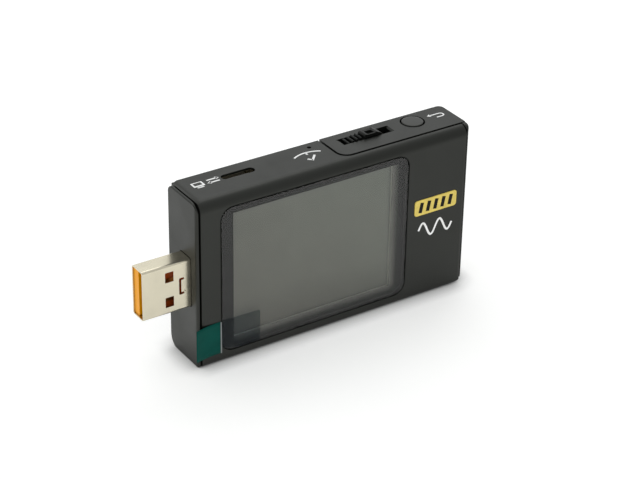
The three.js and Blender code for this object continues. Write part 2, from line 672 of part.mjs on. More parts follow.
// The jog lever's outline in X and Z: a low arc with a raised thumb rest at its middle, on a short neck.
function jogOutline() {
  const end = JOG_X + JOG_REACH.socket;
  const start = JOG_X - JOG_REACH.plug;
  const underside = TOP - JOG_UNDERSIDE_DROP;
  const shape = new THREE.Shape();
  shape.moveTo(start + 0.3, underside);
  shape.lineTo(JOG_X - JOG_NECK, underside - 0.3);
  shape.lineTo(JOG_X - 1.1, TOP - JOG_PIVOT_DROP);
  shape.absarc(JOG_X, TOP - JOG_PIVOT_DROP, 1.1, Math.PI, Math.PI * 2, false);
  shape.lineTo(JOG_X + JOG_NECK, underside - 0.3);
  shape.lineTo(end - 0.3, underside);
  shape.lineTo(end, TOP - 0.9);
  shape.quadraticCurveTo(JOG_X + 3.6, TOP + 0.1, JOG_X + 1.7, TOP + 0.75);
  shape.quadraticCurveTo(JOG_X + 0.2, TOP + 1.05, JOG_X - 1.3, TOP + 0.85);
  shape.lineTo(JOG_X - 1.6, TOP + 0.45);
  shape.quadraticCurveTo(JOG_X - 3.8, TOP + 0.3, start, TOP - 0.5);
  return shape;
}

function jogWheel() {
  const lever = drawn(jogOutline(), "y", JOG_Y - JOG_WIDTH / 2, JOG_Y + JOG_WIDTH / 2);
  const grooves = [-4.5, -3.75, -3.0, -2.25].map((x) =>
    block(JOG_X + x - 0.14, JOG_X + x + 0.14, FRONT, BACK, TOP - 0.15, TOP + 2),
  );
  const cheekSpace = [-1, 1].map((side) => {
    const inner = JOG_Y + side * 0.75;
    const outer = JOG_Y + side * 3;
    return block(-FAR, FAR, Math.min(inner, outer), Math.max(inner, outer), TOP - 6.2, TOP - 2.75);
  });
  const bore = rodY(JOG_X, TOP - JOG_PIVOT_DROP, JOG_PIN_RADIUS + 0.06, FRONT, BACK);
  return cut(lever, ...grooves, ...cheekSpace, bore);
}

function jogCarrier() {
  const base = block(JOG_X - 4.2, JOG_X + 4.2, JOG_Y - 1.5, JOG_Y + 1.5, TOP - 6.9, TOP - 6.2);
  const cheeks = [-1, 1].map((side) => {
    const y0 = JOG_Y + Math.min(side * JOG_CHEEK.inner, side * JOG_CHEEK.outer);
    const y1 = JOG_Y + Math.max(side * JOG_CHEEK.inner, side * JOG_CHEEK.outer);
    return block(JOG_X - JOG_NECK, JOG_X + JOG_NECK, y0, y1, TOP - 6.3, TOP - 3.4);
  });
  const bore = rodY(JOG_X, TOP - JOG_PIVOT_DROP, JOG_PIN_RADIUS + 0.04, FRONT, BACK);
  return cut(join(base, ...cheeks), bore);
}

function jogSwitchBody() {
  const outside = block(LEFT + 41.8, LEFT + 54.2, JOG_Y - 1.85, JOG_Y + 1.7, TOP - 8.2, TOP - 5.6);
  const pocket = block(JOG_X - 4.4, JOG_X + 4.4, JOG_Y - 1.6, JOG_Y + 1.6, TOP - 7.6, TOP);
  return cut(outside, pocket);
}

function controls() {
  piece("jog_switch_body", jogSwitchBody(), CHIP_BLACK);
  piece("jog_carrier", jogCarrier(), STEEL);
  const pinDrop = TOP - JOG_PIVOT_DROP;
  piece("jog_axle_pin", rodY(JOG_X, pinDrop, JOG_PIN_RADIUS, JOG_Y - 1.55, JOG_Y + 1.55), STEEL);
  piece("jog_wheel", jogWheel(), CONTROL_BLACK);

  const cap = rodZ(BUTTON.x, BUTTON.y, BUTTON.radius, TOP - 2.3, TOP + BUTTON.proud, ROUND_SEGMENTS);
  piece("back_button", cap, CONTROL_BLACK);
  const stemTop = TOP - 2.3 - FIT_GAP;
  piece("back_switch_stem", rodZ(BUTTON.x, BUTTON.y, 0.9, stemTop - 2.5, stemTop), CHIP_BLACK);
  const body = block(BUTTON.x - 2.6, BUTTON.x + 2.6, BUTTON.y - 1.8, BUTTON.y + 1.6, TOP - 6.6, TOP - 4.2);
  piece("back_switch_body", cut(body, rodZ(BUTTON.x, BUTTON.y, 1.1, TOP - 5.6, TOP)), STEEL);

  const reset = block(RESET.x - 1.9, RESET.x + 1.9, FRONT + 9.0, FRONT + 11.2, TOP - 5.6, TOP - 3.6);
  piece("reset_switch_body", cut(reset, rodZ(RESET.x, RESET.y, RESET.plunger + 0.1, TOP - 4.8, TOP)), STEEL);
  piece("reset_plunger", rodZ(RESET.x, RESET.y, RESET.plunger, TOP - 4.4, TOP - 3.1), WHITE);
}

enclosure();
display();
plug();
sockets();
dataPort();
boardParts();
controls();

export default parts;
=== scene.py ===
"""Looks for the in-line USB power meter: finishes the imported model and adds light, floor and camera.

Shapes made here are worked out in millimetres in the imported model's frame, then scaled to metres.
"""

import math

import bmesh
import bpy
from mathutils import Matrix, Vector


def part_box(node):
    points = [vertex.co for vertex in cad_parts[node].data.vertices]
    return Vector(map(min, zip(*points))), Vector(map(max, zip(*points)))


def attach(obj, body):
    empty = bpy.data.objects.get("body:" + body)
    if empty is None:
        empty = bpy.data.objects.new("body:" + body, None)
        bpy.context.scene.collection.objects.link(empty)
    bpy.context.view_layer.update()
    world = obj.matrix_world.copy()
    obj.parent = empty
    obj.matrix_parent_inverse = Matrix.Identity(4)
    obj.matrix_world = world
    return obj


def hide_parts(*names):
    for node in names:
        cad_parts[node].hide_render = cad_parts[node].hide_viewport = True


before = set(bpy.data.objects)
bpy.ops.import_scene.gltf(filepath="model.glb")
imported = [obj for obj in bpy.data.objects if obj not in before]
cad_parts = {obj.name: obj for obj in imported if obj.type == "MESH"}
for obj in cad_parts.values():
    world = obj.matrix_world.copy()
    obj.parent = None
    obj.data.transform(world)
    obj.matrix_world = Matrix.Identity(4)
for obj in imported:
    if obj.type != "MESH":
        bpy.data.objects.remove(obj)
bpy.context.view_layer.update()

MM = 0.001


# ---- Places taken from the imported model, in millimetres ----

def box_mm(node):
    low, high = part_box(node)
    return low / MM, high / MM


REAR_LOW, REAR_HIGH = box_mm("rear_shell")
FRONT_LOW, FRONT_HIGH = box_mm("front_shell")
LEFT, FRONT = REAR_LOW.x, FRONT_LOW.y
TOP, PANEL_TOP = FRONT_HIGH.z, REAR_HIGH.z
WINDOW_LOW, WINDOW_HIGH = box_mm("display_window")
FILM_LOW, FILM_HIGH = box_mm("protective_film")
POLARISER_LOW, POLARISER_HIGH = box_mm("lcd_polariser")
POLARISER_MARGIN = Vector((0.55, 0, 0.55))
ACTIVE_LOW, ACTIVE_HIGH = POLARISER_LOW + POLARISER_MARGIN, POLARISER_HIGH - POLARISER_MARGIN
PLUG_LOW, PLUG_HIGH = box_mm("usb_a_plug_shell")
TONGUE_LOW, TONGUE_HIGH = box_mm("plug_tongue")
JOG_LOW, JOG_HIGH = box_mm("jog_wheel")
PIN_LOW, PIN_HIGH = box_mm("jog_axle_pin")
BUTTON_LOW, BUTTON_HIGH = box_mm("back_button")
BADGE_LOW, BADGE_HIGH = box_mm("front_badge")
PATCH_LOW, PATCH_HIGH = box_mm("film_patch")
TAB_LOW, TAB_HIGH = box_mm("film_pull_tab")


# ---- Mesh work ----

EDGE_SEGMENTS = 2
SHARP_ANGLE = 35
NODE_FLAT_ANGLE = 0.6
WORK_FLAT_ANGLE = 0.5
WELD_DISTANCE = 0.0005
THROUGH = 20

AXES = {
    "x": Matrix(((0, 0, 1, 0), (1, 0, 0, 0), (0, 1, 0, 0), (0, 0, 0, 1))),
    "y": Matrix(((1, 0, 0, 0), (0, 0, -1, 0), (0, 1, 0, 0), (0, 0, 0, 1))),
    "z": Matrix.Identity(4),
}


def to_object(bm, name="work"):
    bmesh.ops.recalc_face_normals(bm, faces=bm.faces)
    mesh = bpy.data.meshes.new(name)
    bm.to_mesh(mesh)
    bm.free()
    made = bpy.data.objects.new(name, mesh)
    bpy.context.scene.collection.objects.link(made)
    return made


def prism(outline, axis, low, high):
    """A closed outline drawn out along an axis.

    The outline is in (Y, Z) for x, in (X, Z) for y and in (X, Y) for z.
    """
    bm = bmesh.new()
    if axis == "y":
        low, high = -high, -low
    ends = [[bm.verts.new((u, v, height)) for u, v in outline] for height in (low, high)]
    bm.faces.new(ends[0])
    bm.faces.new(ends[1])
    for i in range(len(outline)):
        j = (i + 1) % len(outline)
        bm.faces.new((ends[0][i], ends[0][j], ends[1][j], ends[1][i]))
    bm.transform(AXES[axis])
    return to_object(bm)


def arc(u, v, radius, start, end, steps=8):
    """Points on an arc, in degrees."""
    angles = [math.radians(start + (end - start) * i / steps) for i in range(steps + 1)]
    return [(u + radius * math.cos(a), v + radius * math.sin(a)) for a in angles]


def rounded(u0, u1, v0, v1, radius, steps=8):
    """A rectangle with even round corners."""
    corners = (
        (u0 + radius, v0 + radius, 180),
        (u1 - radius, v0 + radius, 270),
        (u1 - radius, v1 - radius, 0),
        (u0 + radius, v1 - radius, 90),
    )
    return [point for u, v, start in corners for point in arc(u, v, radius, start, start + 90, steps)]


def ribbon(points, width):
    """The outline of a flat stroke of even width along a line of points."""
    half = width / 2
    left, right = [], []
    for i, (u, v) in enumerate(points):
        before = points[max(i - 1, 0)]
        after = points[min(i + 1, len(points) - 1)]
        along = Vector((after[0] - before[0], after[1] - before[1])).normalized()
        left.append((u - along.y * half, v + along.x * half))
        right.append((u + along.y * half, v - along.x * half))
    return left + right[::-1]


def bake(made):
    """Applies a work object's modifiers to its mesh."""
    graph = bpy.context.evaluated_depsgraph_get()
    mesh = bpy.data.meshes.new_from_object(made.evaluated_get(graph))
    old = made.data
    made.modifiers.clear()
    made.data = mesh
    bpy.data.meshes.remove(old)
    return made


def combine(made, others, operation):
    for other in others:
        step = made.modifiers.new("step", "BOOLEAN")
        step.operation = operation
        step.solver = "EXACT"
        step.object = other
    bake(made)
    for other in others:
        bpy.data.objects.remove(other)
    return made


def cut(made, *tools):
    return combine(made, tools, "DIFFERENCE")


def join(made, *others):
    return combine(made, others, "UNION")


def round_edges(made, width, segments, angle, flat_angle):
    """Modifiers that merge flat faces, then round every edge sharper than an angle in degrees."""
    flat = made.modifiers.new("flat", "DECIMATE")
    flat.decimate_type = "DISSOLVE"
    flat.angle_limit = math.radians(flat_angle)
    bevel = made.modifiers.new("edge", "BEVEL")
    bevel.width = width
    bevel.segments = segments
    bevel.limit_method = "ANGLE"
    bevel.angle_limit = math.radians(angle)


def even_normals(made):
    weighted = made.modifiers.new("normals", "WEIGHTED_NORMAL")
    weighted.keep_sharp = True


def soften(made, width, segments=EDGE_SEGMENTS, angle=SHARP_ANGLE):
    """Rounds the sharp edges of a work object for good."""
    round_edges(made, width, segments, angle, WORK_FLAT_ANGLE)
    return bake(made)


def shade(mesh):
    if "custom_normal" in mesh.attributes:
        mesh.attributes.remove(mesh.attributes["custom_normal"])
    mesh.polygons.foreach_set("use_smooth", [True] * len(mesh.polygons))


def commit(made, name, look, body, replaces=()):
    """Finishes a work object in millimetres as a named piece that rides on a body."""
    made.name = name
    made.data.name = name
    made.data.transform(Matrix.Scale(MM, 4))
    shade(made.data)
    even_normals(made)
    made.data.materials.clear()
    made.data.materials.append(look)
    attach(made, body)
    if replaces:
        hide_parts(*replaces)


def dress(node, look, edge):
    """Gives a CAD node its material, flat faces without seams and soft edges."""
    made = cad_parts[node]
    made.data.materials.clear()
    made.data.materials.append(look)
    shade(made.data)
    weld = made.modifiers.new("weld", "WELD")
    weld.merge_threshold = WELD_DISTANCE * MM
    round_edges(made, edge * MM, EDGE_SEGMENTS, SHARP_ANGLE, NODE_FLAT_ANGLE)
    even_normals(made)


# ---- Materials ----

WORN_EDGE = 0.25
TRACKS_PER_METRE = 420


class Graph:
    """A node material built from short calls. Texture coordinates are the object's own, in metres."""

    def __init__(self, name):
        self.material = bpy.data.materials.new(name)
        self.material.use_nodes = True
        self.tree = self.material.node_tree
        self.shader = self.tree.nodes["Principled BSDF"]
        self.output = self.tree.nodes["Material Output"]
        self.place = self.add("ShaderNodeTexCoord").outputs["Object"]

    def add(self, kind, **settings):
        node = self.tree.nodes.new(kind)
        for key, value in settings.items():
            setattr(node, key, value)
        return node

    def feed(self, socket, value):
        if isinstance(value, bpy.types.NodeSocket):
            self.tree.links.new(value, socket)
        elif isinstance(value, tuple) and len(value) == 3 and socket.type == "RGBA":
            socket.default_value = (*value, 1)
        else:
            socket.default_value = value

    def set(self, **values):
        for key, value in values.items():
            self.feed(self.shader.inputs[key.replace("_", " ")], value)

    def scaled(self, stretch):
        mapping = self.add("ShaderNodeMapping")
        self.feed(mapping.inputs["Vector"], self.place)
        mapping.inputs["Scale"].default_value = stretch
        return mapping.outputs["Vector"]

    def noise(self, size_mm, detail=3, stretch=(1, 1, 1)):
        """Noise whose features are about a size in millimetres, stretched by axis."""
        node = self.add("ShaderNodeTexNoise")
        self.feed(node.inputs["Vector"], self.scaled(stretch))
        node.inputs["Scale"].default_value = 1 / (size_mm * MM)
        node.inputs["Detail"].default_value = detail
        return node.outputs["Fac"]

    def spread(self, value, low, high, start=0.3, end=0.7):
        """Maps a value from a start and end to a low and high."""
        node = self.add("ShaderNodeMapRange")
        self.feed(node.inputs["Value"], value)
        node.inputs["From Min"].default_value = start
        node.inputs["From Max"].default_value = end
        self.feed(node.inputs["To Min"], low)
        self.feed(node.inputs["To Max"], high)
        return node.outputs["Result"]

    def mix(self, factor, first, second):
        node = self.add("ShaderNodeMix", data_type="RGBA")
        self.feed(node.inputs["Factor"], factor)
        self.feed(node.inputs[6], first)
        self.feed(node.inputs[7], second)
        return node.outputs[2]

    def axis(self, name):
        node = self.add("ShaderNodeSeparateXYZ")
        self.feed(node.inputs[0], self.place)
        return node.outputs[name]

    def maths(self, operation, first, second=0.0):
        node = self.add("ShaderNodeMath", operation=operation)
        self.feed(node.inputs[0], first)
        self.feed(node.inputs[1], second)
        return node.outputs[0]

    def edge_mask(self):
        """About 1 on edges and 0 on flat faces."""
        bevel = self.add("ShaderNodeBevel", samples=4)
        bevel.inputs["Radius"].default_value = WORN_EDGE * MM
        plain = self.add("ShaderNodeNewGeometry")
        dot = self.add("ShaderNodeVectorMath", operation="DOT_PRODUCT")
        self.feed(dot.inputs[0], bevel.outputs["Normal"])
        self.feed(dot.inputs[1], plain.outputs["Normal"])
        return self.spread(dot.outputs["Value"], 1.0, 0.0, start=0.9, end=0.995)

    def bump(self, height, strength, distance_mm):
        node = self.add("ShaderNodeBump")
        node.inputs["Strength"].default_value = strength
        node.inputs["Distance"].default_value = distance_mm * MM
        self.feed(node.inputs["Height"], height)
        self.feed(self.shader.inputs["Normal"], node.outputs["Normal"])


def shade_of(colour, factor):
    return tuple(min(1.0, channel * factor) for channel in colour)


def moulded(
    name, colour, roughness, grain_mm=0.16, grain=0.35, wear=0.5, specular=0.5, tint=(1, 1, 1), socket_end_shade=0.0
):
    """Moulded plastic: fine grain, faint mottling and rubbed edges.

    Painted shade: the specular level falls towards the socket end by the given share, which darkens that
    end's reflections.
    """
    g = Graph(name)
    mottle = g.noise(6, detail=4)
    base = g.mix(g.spread(mottle, 0.0, 1.0), shade_of(colour, 0.93), shade_of(colour, 1.07))
    edge = g.edge_mask()
    rubbed = g.maths("MULTIPLY", edge, g.spread(g.noise(1.2, detail=4), 0.1, wear))
    g.set(Base_Color=g.mix(rubbed, base, shade_of(colour, 1.9)))
    smudge = g.spread(g.noise(9, detail=3), roughness - 0.05, roughness + 0.05)
    g.set(Roughness=g.maths("SUBTRACT", smudge, g.maths("MULTIPLY", rubbed, 0.12)))
    # painted shade: weaker reflections towards the socket end darken that end
    shaded_shine = g.spread(g.axis("X"), specular, specular * (1 - socket_end_shade), LEFT * MM, REAR_HIGH.x * MM)
    g.set(Specular_IOR_Level=shaded_shine, Specular_Tint=tint)
    g.bump(g.noise(grain_mm, detail=2), grain, 0.012)
    return g.material


def plated(name, colour, roughness, stretch=(0.12, 1, 1), grain_mm=0.12, smudges=0.08, bump=0.06):
    """Plated sheet metal: fine rolling lines, and patches that handling has dulled."""
    g = Graph(name)
    lines = g.noise(grain_mm, detail=3, stretch=stretch)
    patches = g.noise(3.5, detail=4)
    g.set(Metallic=1.0)
    g.set(Base_Color=g.mix(g.spread(patches, 0.0, 1.0), shade_of(colour, 0.95), shade_of(colour, 1.03)))
    streaks = g.spread(lines, -0.02, 0.03)
    socket_end_shade = g.spread(patches, roughness - smudges / 2, roughness + smudges / 2)
    g.set(Roughness=g.maths("ADD", socket_end_shade, streaks))
    g.bump(lines, bump, 0.003)
    return g.material


def glossy(name, colour, roughness, mottle_mm=2.0, subsurface=0.0, specular=0.5):
    """Smooth moulded or coated plastic with faint flow marks."""
    g = Graph(name)
    flow = g.noise(mottle_mm, detail=3, stretch=(0.4, 1, 1))
    g.set(Base_Color=g.mix(g.spread(flow, 0.0, 1.0), shade_of(colour, 0.88), shade_of(colour, 1.1)))
    g.set(Roughness=g.spread(g.noise(1.1), roughness - 0.05, roughness + 0.07))
    g.set(Specular_IOR_Level=specular)
    if subsurface:
        g.set(Subsurface_Weight=subsurface, Subsurface_Radius=(1.0, 0.45, 0.15), Subsurface_Scale=0.8 * MM)
    g.bump(g.noise(0.5, detail=3), 0.12, 0.01)
    return g.material


def see_through(name, tint, gloss_roughness, ior, haze=(0.6, 0.6, 0.6), haze_share=0.0):
    """A thin clear sheet: light goes straight through, with a faint haze and an outer side that mirrors."""
    g = Graph(name)
    through = g.add("ShaderNodeBsdfTransparent")
    clouds = g.spread(g.noise(5, detail=3), 0.0, 1.0)
    g.feed(through.inputs["Color"], g.mix(clouds, tint, shade_of(tint, 0.985)))
    veil = g.add("ShaderNodeBsdfDiffuse")
    g.feed(veil.inputs["Color"], haze)
    body = g.add("ShaderNodeMixShader")
    scratches = g.noise(0.3, detail=4, stretch=(1, 1, 0.15))
    g.feed(body.inputs[0], g.spread(scratches, haze_share * 0.8, haze_share * 1.2))
    g.tree.links.new(through.outputs[0], body.inputs[1])
    g.tree.links.new(veil.outputs[0], body.inputs[2])
    gloss = g.add("ShaderNodeBsdfGlossy")
    g.feed(gloss.inputs["Roughness"], g.spread(g.noise(4, detail=3), gloss_roughness, gloss_roughness + 0.03))
    fresnel = g.add("ShaderNodeFresnel")
    fresnel.inputs["IOR"].default_value = ior
    side = g.add("ShaderNodeNewGeometry")
    outer = g.maths("SUBTRACT", 1.0, side.outputs["Backfacing"])
    surface = g.add("ShaderNodeMixShader")
    g.feed(surface.inputs[0], g.maths("MULTIPLY", fresnel.outputs[0], outer))
    g.tree.links.new(body.outputs[0], surface.inputs[1])
    g.tree.links.new(gloss.outputs[0], surface.inputs[2])
    g.tree.links.new(surface.outputs[0], g.output.inputs["Surface"])
    g.tree.nodes.remove(g.shader)
    return g.material


def polariser_look():
    """The display when it is off: grey; painted light makes it paler and greener towards the top right,
    painted shade darkens it towards the bottom, and a painted highlight lightens its margin under the mask's
    edge.
    """
    g = Graph("polariser")
    # painted light: the display is paler and greener towards the top right
    across = g.spread(g.axis("X"), 0.0, 1.0, ACTIVE_LOW.x * MM, ACTIVE_HIGH.x * MM)
    up = g.spread(g.axis("Z"), 0.0, 1.0, ACTIVE_LOW.z * MM, ACTIVE_HIGH.z * MM)
    lit = g.maths("MULTIPLY", g.maths("ADD", across, up), 0.5)
    lit_and_cloudy = g.maths("ADD", lit, g.spread(g.noise(14, detail=2), -0.06, 0.06))
    # painted shade: the display is a fifth darker at its bottom edge, fading out over 9 mm
    painted_shade_low = g.spread(g.axis("Z"), 0.8, 1.0, ACTIVE_LOW.z * MM, (ACTIVE_LOW.z + 9) * MM)
    grey = g.mix(lit_and_cloudy, (0.148, 0.143, 0.132), (0.167, 0.177, 0.161))
    # painted light: the margin just right of and below the active face is paled to cover the mask's shadow
    # there
    rightmost = g.spread(g.axis("X"), 0.0, 1.0, ACTIVE_HIGH.x * MM, (ACTIVE_HIGH.x + 0.1) * MM)
    lowest = g.spread(g.axis("Z"), 1.0, 0.0, (ACTIVE_LOW.z - 0.1) * MM, ACTIVE_LOW.z * MM)
    painted_light_margin = g.maths("MAXIMUM", rightmost, lowest)
    g.set(Base_Color=g.mix(painted_light_margin, g.mix(painted_shade_low, (0.0, 0.0, 0.0), grey), (0.6, 0.6, 0.56)))
    g.set(Roughness=g.spread(g.noise(2.5), 0.52, 0.6), Specular_IOR_Level=0.05)
    return g.material


def mask_look():
    """The black print behind the window, with a painted soft grey glow right of and below the active face."""
    g = Graph("mask_black")
    x, z = g.axis("X"), g.axis("Z")
    low, high = ACTIVE_LOW, ACTIVE_HIGH
    # painted glow: grey light fading into the black print right of and below the active face
    rightwards = g.spread(x, 1.0, 0.0, high.x * MM, (high.x + 1.9) * MM)
    downwards = g.spread(z, 0.0, 0.8, (low.z - 1.5) * MM, low.z * MM)
    above = g.spread(z, 0.0, 1.0, (low.z - 0.04) * MM, (low.z - 0.02) * MM)
    left_end = g.spread(x, 0.0, 1.0, (low.x + 0.02) * MM, (low.x + 0.04) * MM)
    top_end = g.spread(z, 1.0, 0.0, (high.z - 0.02) * MM, high.z * MM)
    beside = g.maths("MULTIPLY", rightwards, g.maths("MAXIMUM", downwards, above))
    painted_glow = g.maths("MULTIPLY", beside, g.maths("MULTIPLY", left_end, top_end))
    ink = g.mix(g.spread(g.noise(3), 0.0, 1.0), (0.0055, 0.0055, 0.005), (0.0065, 0.0065, 0.006))
    g.set(Base_Color=g.mix(painted_glow, ink, (0.15, 0.15, 0.14)))
    g.set(Roughness=g.spread(g.noise(2.5), 0.55, 0.62), Specular_IOR_Level=0.05)
    return g.material


def tongue_look():
    """The plug's orange insulator: bright at the mouth, with painted shade turning it a deep red brown
    further in.
    """
    g = Graph("plug_tongue_orange")
    # painted shade: the tongue darkens to red brown deeper inside the shell
    painted_shade_depth = g.spread(g.axis("X"), 0.0, 1.0, (TONGUE_LOW.x + 0.6) * MM, (TONGUE_LOW.x + 3.4) * MM)
    flow = g.spread(g.noise(1.5, detail=3, stretch=(0.4, 1, 1)), 0.9, 1.0)
    mouth = g.mix(flow, (0.82, 0.32, 0.0), (0.92, 0.37, 0.0))
    g.set(Base_Color=g.mix(painted_shade_depth, mouth, (0.62, 0.11, 0.012)))
    g.set(Roughness=g.spread(g.noise(1.1), 0.3, 0.42), Specular_IOR_Level=0.25)
    g.bump(g.noise(0.5, detail=3), 0.08, 0.01)
    return g.material


def board_look():
    """Green solder mask over copper tracks."""
    g = Graph("solder_mask")
    tracks = g.add("ShaderNodeTexBrick")
    g.feed(tracks.inputs["Vector"], g.place)
    tracks.inputs["Scale"].default_value = TRACKS_PER_METRE
    tracks.inputs["Mortar Size"].default_value = 0.06
    g.set(Base_Color=g.mix(tracks.outputs["Fac"], (0.008, 0.07, 0.04), (0.02, 0.14, 0.07)))
    g.set(Roughness=g.spread(g.noise(1.5), 0.3, 0.45))
    g.bump(tracks.outputs["Fac"], 0.4, 0.03)
    return g.material


COOL = (0.97, 1.0, 0.92)
# the shell's reflections are turned down towards the socket end as painted shade
SHELL = moulded("shell_black", (0.0042, 0.0045, 0.0038), 0.42, specular=0.43, tint=COOL, socket_end_shade=0.16)
CONTROL = moulded("control_black", (0.004, 0.0042, 0.004), 0.4, grain_mm=0.1, grain=0.25, tint=COOL)
LEVER = moulded(
    "lever_black", (0.003, 0.0032, 0.003), 0.45, grain_mm=0.1, grain=0.25, specular=0.2, tint=COOL
)
PORT_GREY = moulded("port_grey", (0.16, 0.16, 0.155), 0.4, grain_mm=0.1, grain=0.2)
MASK = mask_look()
FOAM = moulded("foam_black", (0.02, 0.02, 0.02), 0.9, grain_mm=0.25, grain=1.0, wear=0.1)
CHIP = moulded("chip_black", (0.02, 0.02, 0.022), 0.55, grain_mm=0.08, grain=0.3, wear=0.2)
SILVER = plated("plug_silver", (0.675, 0.625, 0.49), 0.24, grain_mm=0.5, smudges=0.03, bump=0.004)
STEEL = plated("screw_steel", (0.42, 0.42, 0.41), 0.36, stretch=(1, 1, 1), grain_mm=0.2)
GOLD = plated("contact_gold", (0.9, 0.62, 0.24), 0.25, stretch=(0.2, 1, 1))
# painted shade: the plug's contacts get a darker, redder copy of the gold for the shade inside the plug; it
# is also rougher
SHADED_DULL_GOLD = plated("plug_contact_gold_shaded", (0.45, 0.18, 0.045), 0.45, stretch=(0.2, 1, 1))
ORANGE = glossy("tongue_orange", (0.85, 0.34, 0.02), 0.4, subsurface=0.15)
TONGUE = tongue_look()
WHITE = glossy("white_plastic", (0.78, 0.78, 0.74), 0.4)
AMBER = glossy("amber_film", (0.5, 0.22, 0.045), 0.3)
PRINT = glossy("white_print", (1.0, 1.0, 0.98), 0.55, mottle_mm=0.6)
BLACK_PRINT = glossy("black_print", (0.006, 0.0055, 0.005), 0.6, mottle_mm=0.6, specular=0.15)
BADGE = glossy("badge_yellow", (0.78, 0.6, 0.12), 0.42, mottle_mm=1.2, specular=0.4)
TAB = glossy("tab_green", (0.002, 0.064, 0.05), 0.4, mottle_mm=3.0, specular=0.05)
POLARISER = polariser_look()
BOARD = board_look()
GLASS = see_through("display_glass", (0.99, 0.995, 0.975), 0.03, 1.06)
FILM = see_through("film_clear", (0.99, 0.99, 0.99), 0.06, 1.5, haze_share=0.004)
# painted highlight: a grey strip stands in for the glint on the film tab's fold
FOLD_GLINT = glossy("film_fold_glint", (0.2, 0.22, 0.22), 0.3, mottle_mm=1.5)
PATCH = see_through(
    "patch_blue", (0.82, 0.84, 0.855), 0.15, 1.08, haze=(0.02, 0.03, 0.04), haze_share=0.02
)


# ---- CAD nodes that keep their shape ----

def dress_nodes():
    looks = {
        "front_shell": (SHELL, 0.12),
        "rear_shell": (SHELL, 0.12),
        "window_mask": (MASK, 0.02),
        "foam_gasket": (FOAM, 0.05),
        "lcd_polariser": (POLARISER, 0.02),
        "lcd_glass": (GLASS, 0.05),
        "lcd_backlight_frame": (WHITE, 0.1),
        "lcd_flex_cable": (AMBER, 0.03),
        "main_board": (BOARD, 0.05),
        "usb_a_socket_shell": (SILVER, 0.06),
        "socket_tongue": (ORANGE, 0.1),
        "usb_c_socket_shell": (SILVER, 0.06),
        "usb_c_tongue": (CHIP, 0.08),
        "pc_port_shell": (SILVER, 0.06),
        "pc_port_tongue": (PORT_GREY, 0.08),
        "mcu_chip": (CHIP, 0.08),
        "memory_chip": (CHIP, 0.08),
        "adc_chip": (CHIP, 0.08),
        "crystal_can": (STEEL, 0.2),
        "shunt_resistor": (CHIP, 0.06),
        "output_mosfet": (CHIP, 0.08),
        "regulator_coil": (CHIP, 0.3),
        "bulk_capacitor": (AMBER, 0.15),
        "jog_switch_body": (CHIP, 0.1),
        "jog_carrier": (STEEL, 0.06),
        "jog_axle_pin": (STEEL, 0.06),
        "back_switch_stem": (CHIP, 0.08),
        "back_switch_body": (STEEL, 0.1),
        "reset_switch_body": (STEEL, 0.1),
        "reset_plunger": (WHITE, 0.08),
    }
    for i in range(1, 5):
        looks[f"case_screw_{i}"] = (STEEL, 0.08)
        looks[f"plug_contact_{i}"] = (SHADED_DULL_GOLD, 0.04)
        looks[f"socket_contact_{i}"] = (GOLD, 0.04)
    for node, (look, edge) in looks.items():
        dress(node, look, edge)


# ---- Display, film and badge ----

INK = 0.03
INK_ROOT = 0.01


def plate(low, high, radius, y0, y1, edge, steps=12):
    """A thin plate in the front plane with soft edges."""
    made = prism(rounded(low.x, high.x, low.z, high.z, radius, steps), "y", y0, y1)
    return soften(made, edge)


def display_pieces():
    """The window, the film and the patch, with a sliver of air behind each so that no two faces meet."""
    air = 0.02
    window_corner, window_edge = 2.85, 0.1
    film_corner, film_edge = 2.8, 0.02
    window = plate(WINDOW_LOW, WINDOW_HIGH, window_corner, WINDOW_LOW.y, WINDOW_HIGH.y - air, window_edge)
    commit(window, "display_window_lens", GLASS, "root", ["display_window"])
    film = plate(FILM_LOW, FILM_HIGH, film_corner, FILM_LOW.y, FILM_HIGH.y - air, film_edge)
    commit(film, "protective_film_sheet", FILM, "root", ["protective_film"])
    corners = [
        (PATCH_LOW.x, PATCH_LOW.z + 1.1),
        (PATCH_LOW.x + 4.6, PATCH_LOW.z),
        (PATCH_HIGH.x - 0.3, PATCH_LOW.z),
        (PATCH_HIGH.x, PATCH_LOW.z + 0.3),
        (PATCH_HIGH.x, PATCH_HIGH.z - 0.5),
        (PATCH_HIGH.x - 0.25, PATCH_HIGH.z - 0.25),
        (PATCH_LOW.x, PATCH_HIGH.z),
    ]
    patch = soften(prism(corners, "y", PATCH_LOW.y, PATCH_HIGH.y - air), film_edge)
    commit(patch, "film_patch_sheet", PATCH, "root", ["film_patch"])


